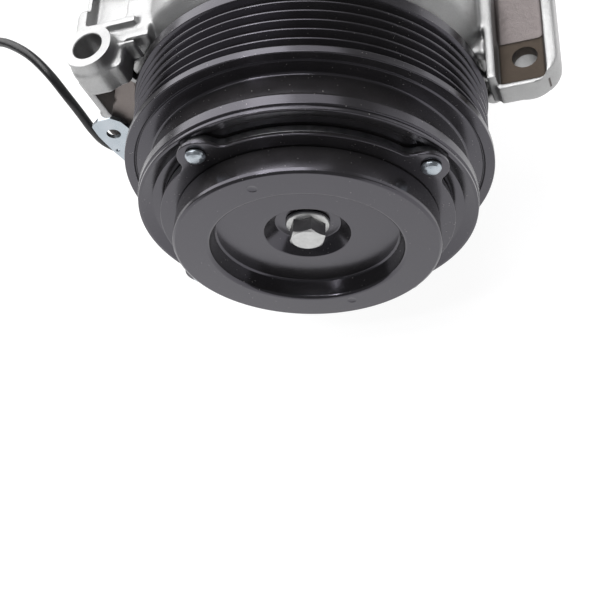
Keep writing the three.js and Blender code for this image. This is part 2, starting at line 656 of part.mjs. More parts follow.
function makeHousingFittings() {
  piece('nose_snap_ring', STEEL, splitRing(16.7, 19.6, -3.7, -2.7, 14));
  piece('shaft_seal', RUBBER, turned([
    [8.8, 6], [10.2, 5], [13.3, 5], [13.3, 14], [11.6, 14], [11.6, 7], [9.6, 7],
  ], MEDIUM));
  piece('seal_snap_ring', STEEL, splitRing(10.6, 13.3, 2.6, 3.8, 20));
  piece('front_needle_bearing', STEEL, ring(8.8, 13.3, 18, 28, MEDIUM));
  piece('main_bearing_outer_race', STEEL, turned([
    [16.6, 36.5], [20, 36.5], [20, 49.4], [16.6, 49.4], [16.6, 44.4], [17.3, 42.7], [16.6, 41],
  ], MEDIUM));
  piece('main_bearing_cage', STEEL, ballCage(15, 1.8, 42.7, 8, [14.3, 15.7], 3.2));
  const plate = ring(24.5, 46, FRONT_Y[1] + GAP, 62.6, BODY);
  const holes = stopPlaces().map(([x, z]) => rod(STOP_PIN_R + GAP, 60, 63, x, z, COARSE));
  piece('thrust_plate', STEEL, build(plate, { cut: holes }));
  piece('front_o_ring', RUBBER, ring(50.1, 52.4, FRONT_Y[1] + GAP, 62.1, BODY));
  piece('rear_gasket', RUBBER, ring(44.5, 52.8, SHELL_Y[1] + GAP, COVER_Y[0] - GAP, BODY));
}

function makeDischargeValve() {
  const reed = block([-5.5, 5.5], [105.9, 106.4], [-20.5, 6.5]);
  piece('discharge_reed', STEEL, build(reed, { cut: [rod(2.6, 105, 108, 0, -16)] }));
  const leaf = block([-5.5, 5.5], [109.4, 110.6], [-20.5, 7]);
  piece('reed_retainer', STEEL, build(leaf, {
    add: [ring(2, 4.4, 107.9, 109.6, SMALL).translate(0, 0, -16)],
    cut: [rod(1.9, 105, 112, 0, -16)],
  }));
  const screwShank = rod(1.6, 100, 111.4, 0, -16, COARSE);
  piece('retainer_screw', STEEL, build(screwShank, { add: [rod(3.2, 110.9, 113, 0, -16)] }));
}

makePulley();
makeCoil();
makeArmature();
makeHub();
makeShaft();
makeScrolls();
makeFrontHousing();
makeShell();
makeRearCover();
makeHousingFittings();
makeFasteners();
makeDischargeValve();

group.position.y = -COVER_Y[1];

export default group;
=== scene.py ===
import json
import math

import bmesh
import bpy
from mathutils import Matrix, Vector


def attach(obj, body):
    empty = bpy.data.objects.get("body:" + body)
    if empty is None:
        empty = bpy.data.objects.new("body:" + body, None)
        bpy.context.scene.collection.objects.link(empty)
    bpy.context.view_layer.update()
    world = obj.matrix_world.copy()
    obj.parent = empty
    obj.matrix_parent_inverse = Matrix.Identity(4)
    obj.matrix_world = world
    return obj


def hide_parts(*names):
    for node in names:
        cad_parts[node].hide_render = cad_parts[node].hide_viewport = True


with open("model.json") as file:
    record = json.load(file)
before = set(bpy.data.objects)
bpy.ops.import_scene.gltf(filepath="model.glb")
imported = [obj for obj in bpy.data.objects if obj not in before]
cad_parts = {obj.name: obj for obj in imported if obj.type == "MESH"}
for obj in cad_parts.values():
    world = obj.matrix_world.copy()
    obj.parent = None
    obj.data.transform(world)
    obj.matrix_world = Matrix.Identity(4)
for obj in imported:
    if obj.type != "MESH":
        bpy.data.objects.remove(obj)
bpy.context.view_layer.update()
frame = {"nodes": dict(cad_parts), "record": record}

# Lengths are written in millimetres. Places along the shaft are counted from the front of the
# pulley's ribbed section, and the frame's origin is COVER_END behind it.
MM = 0.001
COVER_END = 134.0
SMOOTH_ANGLE = math.radians(32)  # edges bent more than this stay sharp


def at(x, y, z):
    """A drawing place as a place in the frame."""
    return Vector((x, y - COVER_END, z)) * MM


# ---- Camera ---------------------------------------------------------------------------------

SHAFT_TILT = math.radians(20)  # the view is turned this far about the shaft
LOOK_AT = (-1.75, -47.9, 0)
CAMERA_DISTANCE = 371.5


def from_view(x, y, z):
    """A direction in the view's upright frame, as a direction in the row frame."""
    c, s = math.cos(SHAFT_TILT), math.sin(SHAFT_TILT)
    return Vector((x * c + z * s, y, z * c - x * s))


def add_camera():
    elevation, azimuth, roll = math.radians(60.6), math.radians(0.71), math.radians(0.98)
    back = Vector((
        math.sin(azimuth) * math.cos(elevation),
        -math.cos(azimuth) * math.cos(elevation),
        math.sin(elevation),
    ))
    right = Vector((math.cos(azimuth), math.sin(azimuth), 0))
    up = back.cross(right)
    across = math.cos(roll) * right + math.sin(roll) * up
    upward = math.cos(roll) * up - math.sin(roll) * right
    place = from_view(*(Vector(LOOK_AT) + CAMERA_DISTANCE * back))
    axes = [from_view(*v) for v in (across, upward, back)]
    data = bpy.data.cameras.new("camera")
    data.lens = 72
    data.sensor_width = 36
    data.clip_start = 0.01
    camera = bpy.data.objects.new("camera", data)
    bpy.context.scene.collection.objects.link(camera)
    turn = Matrix(axes).transposed().to_4x4()
    camera.matrix_world = Matrix.Translation(at(*place)) @ turn
    bpy.context.scene.camera = camera


add_camera()

# ---- Materials ------------------------------------------------------------------------------


class Nodes:
    """Builds one material's node tree."""

    def __init__(self, name):
        self.material = bpy.data.materials.new(name)
        self.material.use_nodes = True
        self.tree = self.material.node_tree
        self.shader = self.tree.nodes["Principled BSDF"]
        coordinates = self.tree.nodes.new("ShaderNodeTexCoord")
        self.place = coordinates.outputs["Object"]

    def link(self, source, node, key):
        self.tree.links.new(source, node.inputs[key])

    def noise(self, per_mm, detail=3.0, roughness=0.55, place=None):
        """Noise whose features are about 1 / per_mm millimetres wide."""
        node = self.tree.nodes.new("ShaderNodeTexNoise")
        node.inputs["Scale"].default_value = per_mm / MM
        node.inputs["Detail"].default_value = detail
        node.inputs["Roughness"].default_value = roughness
        self.link(place or self.place, node, "Vector")
        return node.outputs["Fac"]

    def stretched(self, x, y, z):
        node = self.tree.nodes.new("ShaderNodeMapping")
        node.inputs["Scale"].default_value = (x, y, z)
        self.link(self.place, node, "Vector")
        return node.outputs["Vector"]

    def spread(self, value, low, high, start=0.3, end=0.7):
        """value between start and end becomes low to high."""
        node = self.tree.nodes.new("ShaderNodeMapRange")
        limits = {"From Min": start, "From Max": end, "To Min": low, "To Max": high}
        for key, number in limits.items():
            node.inputs[key].default_value = number
        self.link(value, node, "Value")
        return node.outputs["Result"]

    def colours(self, value, *stops):
        """A colour ramp. Each stop is (position, colour)."""
        node = self.tree.nodes.new("ShaderNodeValToRGB")
        ramp = node.color_ramp
        while len(ramp.elements) < len(stops):
            ramp.elements.new(0.5)
        for element, (position, colour) in zip(ramp.elements, stops):
            element.position = position
            element.color = (*colour, 1)
        self.link(value, node, "Fac")
        return node.outputs["Color"]

    def mixed(self, factor, first, second):
        node = self.tree.nodes.new("ShaderNodeMix")
        node.data_type = "RGBA"
        sockets = {s.identifier: s for s in node.inputs}
        self.tree.links.new(factor, sockets["Factor_Float"])
        for source, key in ((first, "A_Color"), (second, "B_Color")):
            if isinstance(source, tuple):
                sockets[key].default_value = (*source, 1)
            else:
                self.tree.links.new(source, sockets[key])
        return next(s for s in node.outputs if s.identifier == "Result_Color")

    def inside(self, x, y, z, soft=1.0):
        """1 within the box in drawing millimetres and 0 outside it. Its edges are soft mm wide."""
        axes = self.tree.nodes.new("ShaderNodeSeparateXYZ")
        self.link(self.place, axes, "Vector")
        within = None
        for name, (low, high), move in (("X", x, 0), ("Y", y, COVER_END), ("Z", z, 0)):
            for edge, sign in ((low, 1), (high, -1)):
                start, end = sorted(((edge - move) * MM, (edge - move + sign * soft) * MM))
                limits = (0, 1) if sign > 0 else (1, 0)
                step = self.spread(axes.outputs[name], *limits, start, end)
                within = step if within is None else self.times(within, step)
        return within

    def times(self, first, second):
        node = self.tree.nodes.new("ShaderNodeMath")
        node.operation = "MULTIPLY"
        for i, value in enumerate((first, second)):
            if isinstance(value, bpy.types.NodeSocket):
                self.tree.links.new(value, node.inputs[i])
            else:
                node.inputs[i].default_value = value
        return node.outputs["Value"]

    def bump(self, height, strength, distance_mm, below=None):
        node = self.tree.nodes.new("ShaderNodeBump")
        node.inputs["Strength"].default_value = strength
        node.inputs["Distance"].default_value = distance_mm * MM
        self.link(height, node, "Height")
        if below is not None:
            self.link(below, node, "Normal")
        return node.outputs["Normal"]

    def finish(self, colour=None, roughness=None, normal=None, **numbers):
        for key, value in (("Base Color", colour), ("Roughness", roughness), ("Normal", normal)):
            if value is None:
                continue
            if isinstance(value, bpy.types.NodeSocket):
                self.link(value, self.shader, key)
            elif key == "Base Color":
                self.shader.inputs[key].default_value = (*value, 1)
            else:
                self.shader.inputs[key].default_value = value
        for key, value in numbers.items():
            self.shader.inputs[key.replace("_", " ")].default_value = value
        return self.material


def black_coat():
    """Satin electrocoat: faint orange peel, soft smudges and a few specks of dust."""
    n = Nodes("black_coat")
    smudge = n.noise(0.09, 4)
    specks = n.spread(n.noise(1.6, 1, 0.3), 0, 1, 0.765, 0.8)
    base = n.mixed(n.spread(smudge, 0, 1), (0.0175, 0.0165, 0.0172), (0.0225, 0.0213, 0.0220))
    colour = n.mixed(specks, base, (0.22, 0.21, 0.20))
    grain = n.bump(n.noise(2.4, 2), 0.05, 0.03)
    normal = n.bump(n.noise(0.22, 2), 0.04, 0.12, grain)
    roughness = n.spread(smudge, 0.16, 0.24)
    return n.finish(colour, roughness, normal, IOR=1.71, Specular_Tint=(0.90, 0.865, 1.0, 1))


def cast_aluminium():
    """Rough casting, with painted shade: darker brown in the right ear's tray and on its pad, and
    darker in the left ear's recess.
    """
    n = Nodes("cast_aluminium")
    grain = n.noise(2.6, 4, 0.65)
    cloud = n.noise(0.06, 3)
    colour = n.mixed(n.spread(cloud, 0, 1), (0.36, 0.36, 0.36), (0.45, 0.45, 0.45))
    colour = n.mixed(n.spread(grain, 0, 0.35, 0.5, 0.75), colour, (0.24, 0.235, 0.225))
    # Masks for painted shade: the right ear's tray floor, the pad at the tray's front, and the
    # left ear's recess.
    floor = n.inside((64, 81), (15.2, 60), (1, 5.6), 0.4)
    pad = n.inside((64, 81), (15.2, 33.8), (1, 5.6), 0.4)
    recess_shadow = n.inside((-80, -44), (29.5, 35), (-12, 40.5), 1)
    # Painted shade colours: a darker brown on the tray floor, darker still on the pad, and a dark
    # brown in the recess.
    colour = n.mixed(floor, colour, (0.150, 0.132, 0.130))
    colour = n.mixed(pad, colour, (0.042, 0.033, 0.026))
    colour = n.mixed(recess_shadow, colour, (0.200, 0.175, 0.165))
    pits = n.bump(grain, 0.6, 0.16)
    normal = n.bump(n.noise(0.25, 3), 0.3, 0.5, pits)
    return n.finish(colour, n.spread(grain, 0.32, 0.5), normal, Metallic=0.92)


def machined_aluminium():
    n = Nodes("machined_aluminium")
    fine = n.noise(5.0, 2)
    colour = n.mixed(n.spread(n.noise(0.12), 0, 1), (0.44, 0.44, 0.455), (0.50, 0.50, 0.515))
    normal = n.bump(fine, 0.18, 0.03)
    return n.finish(colour, n.spread(n.noise(0.8), 0.22, 0.34), normal, Metallic=1.0)


def turned_steel(name, dark, light, low, high):
    """Ground or turned steel with fine rings round the shaft direction."""
    n = Nodes(name)
    rings = n.noise(1.0, 2, place=n.stretched(0.02, 3.5, 0.02))
    colour = n.mixed(n.spread(n.noise(0.3), 0, 1), dark, light)
    roughness = n.spread(n.noise(0.7), low, high)
    return n.finish(colour, roughness, n.bump(rings, 0.2, 0.04), Metallic=1.0)


def zinc_plate():
    n = Nodes("zinc_plate")
    cloud = n.noise(0.25, 3)
    colour = n.mixed(n.spread(cloud, 0, 1), (0.40, 0.45, 0.49), (0.48, 0.52, 0.56))
    normal = n.bump(n.noise(1.8, 3), 0.16, 0.05)
    return n.finish(colour, n.spread(n.noise(0.5), 0.24, 0.36), normal, Metallic=0.9)


def forged_zinc():
    """A bolt head: dull plating over a forged surface."""
    n = Nodes("forged_zinc")
    grain = n.noise(1.5, 4, 0.6)
    colour = n.mixed(n.spread(n.noise(0.4), 0, 1), (0.46, 0.46, 0.455), (0.58, 0.58, 0.575))
    return n.finish(colour, n.spread(grain, 0.3, 0.44), n.bump(grain, 0.4, 0.12), Metallic=0.95)


def rubber(name, low, high):
    n = Nodes(name)
    grain = n.noise(1.4, 3)
    colour = n.mixed(n.spread(n.noise(0.3), 0, 1), (0.010, 0.010, 0.010), (0.020, 0.020, 0.020))
    roughness = n.spread(grain, low, high)
    return n.finish(colour, roughness, n.bump(grain, 0.25, 0.08), Specular_IOR_Level=0.4)


def lead_sleeve():
    """Shrunk-on plastic sleeve, slightly rippled along its length."""
    n = Nodes("lead_sleeve")
    ripple = n.noise(0.35, 2)
    colour = n.mixed(n.spread(n.noise(0.5), 0, 1), (0.009, 0.009, 0.010), (0.016, 0.016, 0.017))
    return n.finish(colour, n.spread(n.noise(0.8), 0.28, 0.4), n.bump(ripple, 0.3, 0.25), IOR=1.5)


def black_plastic():
    n = Nodes("black_plastic")
    grain = n.noise(3.2, 3)
    colour = n.mixed(n.spread(n.noise(0.2), 0, 1), (0.012, 0.012, 0.013), (0.020, 0.020, 0.021))
    return n.finish(colour, n.spread(grain, 0.42, 0.58), n.bump(grain, 0.3, 0.05))


def coil_resin():
    n = Nodes("coil_resin")
    wires = n.noise(1.0, 1, place=n.stretched(0.3, 2.0, 0.3))
    colour = n.colours(wires, (0.3, (0.10, 0.035, 0.012)), (0.7, (0.26, 0.11, 0.045)))
    return n.finish(colour, n.spread(n.noise(0.5), 0.3, 0.5), n.bump(wires, 0.5, 0.2))


def white_floor():
    n = Nodes("white_floor")
    colour = n.mixed(n.spread(n.noise(0.01), 0, 1), (0.20, 0.20, 0.205), (0.22, 0.22, 0.22))
    return n.finish(colour, n.spread(n.noise(0.05), 0.75, 0.85), Specular_IOR_Level=0.2,
                    Emission_Color=(1, 1, 1, 1), Emission_Strength=0.93)


BLACK_COAT = black_coat()
CAST = cast_aluminium()
MACHINED = machined_aluminium()
STEEL = turned_steel("bare_steel", (0.42, 0.42, 0.43), (0.56, 0.56, 0.58), 0.22, 0.36)
DARK_STEEL = turned_steel("spring_steel", (0.16, 0.16, 0.17), (0.26, 0.26, 0.27), 0.28, 0.4)
ZINC = zinc_plate()
FORGED_ZINC = forged_zinc()
RUBBER = rubber("rubber", 0.6, 0.8)
SLEEVE = lead_sleeve()
PLASTIC = black_plastic()
RESIN = coil_resin()

# ---- Mesh helpers ---------------------------------------------------------------------------

ON_AXIS = 1e-6
SAME_POINT = 1e-3
CASTING_VOXEL = 0.65
CASTING_ROUNDS = 7
BEVEL_STEPS = 3
BEVEL_ANGLE = math.radians(50)
HOLE_STEPS = 40


def link(name, mesh):
    made = bpy.data.objects.new(name, mesh)
    bpy.context.scene.collection.objects.link(made)
    return made


def from_bmesh(name, bm):
    mesh = bpy.data.meshes.new(name)
    bmesh.ops.recalc_face_normals(bm, faces=bm.faces)
    bm.to_mesh(mesh)
    bm.free()
    return link(name, mesh)


def apply(obj, kind, **settings):
    """Adds a modifier and puts its result in the mesh."""
    modifier = obj.modifiers.new(kind.lower(), kind)
    for key, value in settings.items():
        setattr(modifier, key, value)
    view = bpy.context.evaluated_depsgraph_get()
    mesh = bpy.data.meshes.new_from_object(obj.evaluated_get(view))
    obj.modifiers.clear()
    old = obj.data
    obj.data = mesh
    bpy.data.meshes.remove(old)
    return obj


def smooth(obj, angle=SMOOTH_ANGLE):
    """Smooth shading that keeps flat faces flat and real edges sharp."""
    for polygon in obj.data.polygons:
        polygon.use_smooth = True
    obj.data.set_sharp_from_angle(angle=angle)
    return apply(obj, "WEIGHTED_NORMAL", keep_sharp=True, weight=80)


def paint(obj, *materials):
    obj.data.materials.clear()
    for material in materials:
        obj.data.materials.append(material)
    return obj


def rounded(outline, steps=5, closed=True):
    """An outline of (a, b) or (a, b, radius) points with each radius made a real arc."""
    done = []
    count = len(outline)
    for i, point in enumerate(outline):
        radius = point[2] if len(point) > 2 else 0
        here = Vector(point[:2])
        if not radius or (not closed and i in (0, count - 1)):
            done.append(here)
            continue
        before = Vector(outline[i - 1][:2]) - here
        after = (Vector(outline[(i + 1) % count][:2]) - here)
        spread = before.angle(after)
        reach = min(radius / math.tan(spread / 2), before.length * 0.49, after.length * 0.49)
        radius = reach * math.tan(spread / 2)
        before.normalize()
        after.normalize()
        centre = here + (before + after).normalized() * (radius / math.sin(spread / 2))
        start, end = here + before * reach - centre, here + after * reach - centre
        turn = start.angle_signed(end)
        for k in range(steps + 1):
            angle = -turn * k / steps
            c, s = math.cos(angle), math.sin(angle)
            done.append(centre + Vector((start.x * c - start.y * s, start.x * s + start.y * c)))
    return [(p.x, p.y) for p in done]


def circle(r, x=0.0, z=0.0, steps=96):
    angles = [2 * math.pi * i / steps for i in range(steps)]
    return [(x + r * math.cos(a), z + r * math.sin(a)) for a in angles]


def turned(name, outline, steps=180, x=0.0, z=0.0, fillets=5):
    """A solid turned about a line along Y. outline is a closed list of (radius, y) points,
    each with a fillet after them where it has one."""
    bm = bmesh.new()
    rings = []
    for r, y in rounded(outline, fillets):
        if r < ON_AXIS:
            rings.append([bm.verts.new(at(x, y, z))] * steps)
            continue
        rings.append([bm.verts.new(at(a, y, b)) for a, b in circle(r, x, z, steps)])
    for k, ring in enumerate(rings):
        other = rings[(k + 1) % len(rings)]
        if ring[0] is ring[1] and other[0] is other[1]:
            continue
        for i in range(steps):
            j = (i + 1) % steps
            face = []
            for v in (ring[i], ring[j], other[j], other[i]):
                if v not in face:
                    face.append(v)
            bm.faces.new(face)
    return from_bmesh(name, bm)


def loop(bm, points, place):
    """The edges of a closed line through the points."""
    verts = [bm.verts.new(place(*p)) for p in points]
    return [bm.edges.new(pair) for pair in zip(verts, verts[1:] + verts[:1])]


def slab(name, outline, low, high, level, holes=(), bevel=0.0, fillets=5):
    """A flat plate with holes, given as (a, b, radius) or lists of points.
    level False: its outline is in X and Z, and it goes from low to high along Y.
    level True: its outline is in X and Y, and it goes from low to high along Z."""
    def place(a, b, h):
        return at(a, b, h) if level else at(a, h, b)

    bm = bmesh.new()
    outlines = [rounded(outline, fillets)]
    for hole in holes:
        if isinstance(hole, tuple):
            a, b, r = hole
            hole = circle(r, a, b, HOLE_STEPS)
        outlines.append(hole)
    edges = []
    for points in outlines:
        edges += loop(bm, points, lambda a, b: place(a, b, low))
    bmesh.ops.triangle_fill(bm, use_beauty=True, use_dissolve=False, edges=edges)
    faces = list(bm.faces)
    top = bmesh.ops.extrude_face_region(bm, geom=faces)
    lifted = [v for v in top["geom"] if isinstance(v, bmesh.types.BMVert)]
    bmesh.ops.translate(bm, verts=lifted, vec=place(0, 0, high) - place(0, 0, low))
    if not holes:
        bmesh.ops.dissolve_limit(bm, angle_limit=0.001, verts=bm.verts, edges=bm.edges)
    made = from_bmesh(name, bm)
    if bevel:
        apply(
            made, "BEVEL", width=bevel * MM, segments=BEVEL_STEPS, limit_method="ANGLE",
            angle_limit=BEVEL_ANGLE,
        )
    return made


def block(name, x, y, z, bevel=0.0):
    """A box. x, y and z are its two ends along each axis."""
    outline = [(x[0], y[0]), (x[1], y[0]), (x[1], y[1]), (x[0], y[1])]
    return slab(name, outline, *z, True, bevel=bevel)


def rod(name, r, y0, y1, x=0.0, z=0.0, dome=0.0):
    """A round bar along Y, its front edge rounded by dome."""
    return turned(name, [(0, y0), (r, y0, dome), (r, y1), (0, y1)], 48, x, z)


def post(name, r, z0, z1, x, y):
    """A round bar along Z."""
    made = turned(name, [(0, 0), (r, 0), (r, z1 - z0), (0, z1 - z0)], 64)
    lay = Matrix.Rotation(math.radians(90), 4, "X")
    home = at(0, 0, 0)
    made.data.transform(Matrix.Translation(at(x, y, z0)) @ lay @ Matrix.Translation(-home))
    return made


def join(name, parts):
    bm = bmesh.new()
    for part in parts:
        bm.from_mesh(part.data)
        bpy.data.objects.remove(part)
    return from_bmesh(name, bm)


def cast(name, parts):
    """One rough casting: the parts grown together, with soft fillets where they meet."""
    made = join(name, parts)
    apply(made, "REMESH", mode="VOXEL", voxel_size=CASTING_VOXEL * MM)
    apply(made, "SMOOTH", factor=0.5, iterations=CASTING_ROUNDS)
    return paint(made, CAST)


def boolean(obj, cutter, operation, **settings):
    """Cuts obj with the cutter, or keeps what they share, and removes the cutter."""
    apply(obj, "BOOLEAN", operation=operation, solver="MANIFOLD", object=cutter, **settings)
    bpy.data.objects.remove(cutter)


def carve(obj, cutters):
    for cutter in cutters:
        boolean(obj, cutter, "DIFFERENCE")


def machine(obj, cutters, finish):
    """Cuts obj with each cutter. The cut faces take the finish."""
    for cutter in cutters:
        paint(cutter, finish)
        boolean(obj, cutter, "DIFFERENCE", material_mode="TRANSFER")
    return obj


def hexagon(flats, x=0.0, z=0.0, turn=0.0):
    """A hexagon's outline by its width across flats, with its corners a little rounded."""
    corner = flats / math.sqrt(3)
    angles = [turn + i * math.pi / 3 for i in range(6)]
    return [(x + corner * math.cos(a), z + corner * math.sin(a), 0.25) for a in angles]


def around(degrees, r):
    """The X and Z of a point on a circle about the shaft."""
    return r * math.cos(math.radians(degrees)), r * math.sin(math.radians(degrees))


def stands(obj, body, slot, *nodes):
    """obj rides on a body and stands for CAD nodes."""
    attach(obj, body)
    if nodes:
        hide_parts(*nodes)
    return obj


# ---- Coil lead and its connector ------------------------------------------------------------

LEAD_D = 3.4
LEAD_ROUTE = [
    (-50.4, 36.3, -21), (-56, 36.3, -21), (-63, 36.4, -20.5), (-71, 36.6, -18.5), (-79, 36.9, -14),
    (-83.8, 37.3, -7.5), (-85.2, 38, -0.7), (-86.5, 40.2, 7.2), (-88.1, 42.6, 14.8),
    (-91.4, 47.2, 22.1), (-97.1, 53.5, 25.8), (-104.4, 59.8, 26.5), (-113, 65.6, 25.4),
    (-124, 70, 21), (-137, 71, 9), (-150, 69, -9), (-161, 65, -30), (-169, 59, -48),
    (-174.5, 50, -59.6), (-177, 38, -63.7), (-178, 26, -63.9),
]
CONNECTOR_X = -178.0
FLOOR_Z = -66.0


def blend(first, second, start, end, u):
    """first at start, second at end and a straight mix at u between them."""
    return first * ((end - u) / (end - start)) + second * ((u - start) / (end - start))


def centripetal(points, per_span=8):
    """Points along the smooth curve through the given ones."""
    p = [Vector(q) for q in points]
    p = [p[0] * 2 - p[1]] + p + [p[-1] * 2 - p[-2]]
    done = []
    for i in range(1, len(p) - 2):
        t = [0.0]
        for k in range(3):
            t.append(t[-1] + (p[i + k] - p[i + k - 1]).length ** 0.5)
        for s in range(per_span):
            u = t[1] + (t[2] - t[1]) * s / per_span
            a = [blend(p[i - 1 + k], p[i + k], t[k], t[k + 1], u) for k in range(3)]
            b = [blend(a[k], a[k + 1], t[k], t[k + 2], u) for k in range(2)]
            done.append(blend(b[0], b[1], t[1], t[2], u))
    return done + [p[-2]]


def make_connector():
    half = 6.5
    y0, y1 = -2.0, 25.7
    z0, z1 = FLOOR_Z, -56.5
    x = CONNECTOR_X
    shell = block("connector", (x - half, x + half), (y0, 18), (z0, z1), bevel=0.9)
    neck = block("neck", (x - 4.6, x + 4.6), (17.4, y1 - 0.1), (z0 + 0.6, z1 - 1.4), bevel=1.2)
    lip = block("lip", (x - half, x + half), (y0, y0 + 2), (z0, z1), bevel=0.5)
    latch = block("latch", (x - 2.4, x + 2.4), (y0 + 3, y0 + 14), (z1 - 0.6, z1 + 1.6), bevel=0.5)
    ribs = [
        block("rib", (a - 0.5, a + 0.5), (y0 + 3, y0 + 17), (z1 - 0.4, z1 + 0.5), bevel=0.2)
        for a in (x - 5.2, x + 5.2)
    ]
    grips = [
        block("grip", (x - 4.2, x + 4.2), (y, y + 0.9), (z1 - 1.8, z1 - 0.9), bevel=0.2)
        for y in (19.4, 21.4, 23.4)
    ]
    made = join("lead_connector_shell", [shell, neck, lip, latch, *ribs, *grips])
    inner = (x - half + 1.6, x + half - 1.6)
    mouth = block("mouth", inner, (y0 - 1, y0 + 16), (z0 + 1.4, z1 - 1.4), bevel=0.4)
    paint(made, PLASTIC)
    machine(made, [mouth], PLASTIC)
    return stands(smooth(made), "housing", "black_plastic", "lead_connector")


def make_lead():
    curve = bpy.data.curves.new("coil_lead_sleeve", "CURVE")
    curve.dimensions = "3D"
    curve.bevel_depth = LEAD_D / 2 * MM
    curve.bevel_resolution = 6
    curve.use_fill_caps = True
    spline = curve.splines.new("POLY")
    points = centripetal(LEAD_ROUTE)
    spline.points.add(len(points) - 1)
    for target, p in zip(spline.points, points):
        target.co = (*at(*p), 1)
        target.radius = 1
    spline.use_smooth = True
    lead = link("coil_lead_sleeve", curve)
    lead.data.materials.append(SLEEVE)
    stands(lead, "housing", "lead_sleeve", "coil_lead")
    connector = make_connector()


make_lead()

# ---- Belt pulley ----------------------------------------------------------------------------

GROOVES = 6
GROOVE_PITCH = 3.56
FIRST_GROOVE_Y = 4.09
TIP_R = 59.0
ROOT_R = 56.0


def make_pulley():
    """The grooves' flanks lean 20 degrees. root and tip are half widths of a groove."""
    slope = math.tan(math.radians(20))
    root = 0.44
    tip = root + (TIP_R - ROOT_R) * slope
    outline = [
        (26.2, -15.4, 0.5), (50, -15.4, 0.6), (53.6, -16.6, 0.3), (54.6, -16.6, 0.35),
        (54.6, -15.5, 0.2), (54.0, -15.1, 0.15), (54.9, -14.6, 0.35), (54.9, -11, 0.9),
        (52.5, -9.7, 1.6), (51.8, -1.2, 0.9), (56.4, -0.5, 0.25), (56.9, 0.0, 0.2),
        (57.4, -0.6, 0.2), (60.5, -0.6, 0.35), (60.5, 1.7, 0.4),
        (60.2, FIRST_GROOVE_Y - root - (60.2 - ROOT_R) * slope, 0.3),
    ]
    for i in range(GROOVES):
        y = FIRST_GROOVE_Y + i * GROOVE_PITCH
        if i:
            outline.append((TIP_R, y - tip, 0.22))
        outline += [(ROOT_R, y - root, 0.25), (ROOT_R, y + root, 0.25)]
        if i < GROOVES - 1:
            outline.append((TIP_R, y + tip, 0.22))
    last = FIRST_GROOVE_Y + (GROOVES - 1) * GROOVE_PITCH
    outline += [
        (59.5, last + root + (59.5 - ROOT_R) * slope, 0.3), (59.5, 27.7, 0.5), (49.8, 27.7, 0.4),
        (49.8, -8.4, 0.5), (32.2, -8.4, 0.5), (32.2, 20, 0.3), (27.7, 20, 0.3), (27.7, -5.3),
        (26.2, -5.3),
    ]
    made = paint(turned("belt_pulley", outline, steps=256, fillets=4), BLACK_COAT)
    stands(smooth(made), "pulley", "black_coat", "pulley")


make_pulley()

# ---- Armature: lobed plate, friction plate and rivets ---------------------------------------

LOBES = [23, 113, 203, 293]
RIVET_R = 49.4


def arc(x, y, r, start, end, steps):
    turns = [start + (end - start) * k / steps for k in range(steps + 1)]
    return [(x + r * math.cos(a), y + r * math.sin(a)) for a in turns]


def lobed(disc_r, tip_r, half_width, fillet=4.0):
    """A disc's outline with four round lobes, each joined to the disc by fillets."""
    points = []
    centre = tip_r - half_width
    to_fillet, to_lobe = disc_r + fillet, half_width + fillet
    away = math.acos((to_fillet**2 + centre**2 - to_lobe**2) / (2 * to_fillet * centre))
    lean = math.acos((centre**2 + to_lobe**2 - to_fillet**2) / (2 * centre * to_lobe))
    spread = math.pi - lean
    for degrees in LOBES:
        turn = math.radians(degrees)
        bx, by = to_fillet * math.cos(turn - away), to_fillet * math.sin(turn - away)
        ax, ay = to_fillet * math.cos(turn + away), to_fillet * math.sin(turn + away)
        points += arc(bx, by, fillet, turn - away + math.pi, turn - spread + math.pi, 10)
        points += arc(*around(degrees, centre), half_width, turn - spread, turn + spread, 26)
        points += arc(ax, ay, fillet, turn + spread + math.pi, turn + away + math.pi, 10)
        points += arc(0, 0, disc_r, turn + away, turn + math.pi / 2 - away, 24)
    return [p for i, p in enumerate(points) if math.dist(p, points[i - 1]) > SAME_POINT]


def make_armature():
    holes = [circle(30.4), *[(*around(d, RIVET_R), 2.2) for d in LOBES]]
    outline = lobed(47.3, 54.4, 7.4)
    plate = slab("lobed_spring_plate", outline, -20, -18.6, False, holes, bevel=0.35)
    stands(smooth(paint(plate, BLACK_COAT)), "armature", "black_coat", "lobed_plate")
    outline = lobed(46.5, 53.1, 6.4)
    backing = slab("friction_plate", outline, -18.3, -15.9, False, holes, bevel=0.3)
    stands(smooth(paint(backing, DARK_STEEL)), "armature", "bare_steel", "armature_plate")
    for i, degrees in enumerate(LOBES):
        x, z = around(degrees, RIVET_R)
        rivet = turned(f"rivet_{i + 1}", [
            (0, -22.3), (1.35, -22.25, 0.5), (2.5, -21.75, 0.7), (3.1, -21.0, 0.5),
            (3.1, -20.3, 0.15), (1.9, -20.3), (1.9, -17.3, 0.2), (0, -17.3),
        ], 48, x, z)
        stands(smooth(paint(rivet, ZINC)), "armature", "zinc_plate", f"clutch_rivet_{i + 1}")


make_armature()

# ---- Clutch hub -----------------------------------------------------------------------------


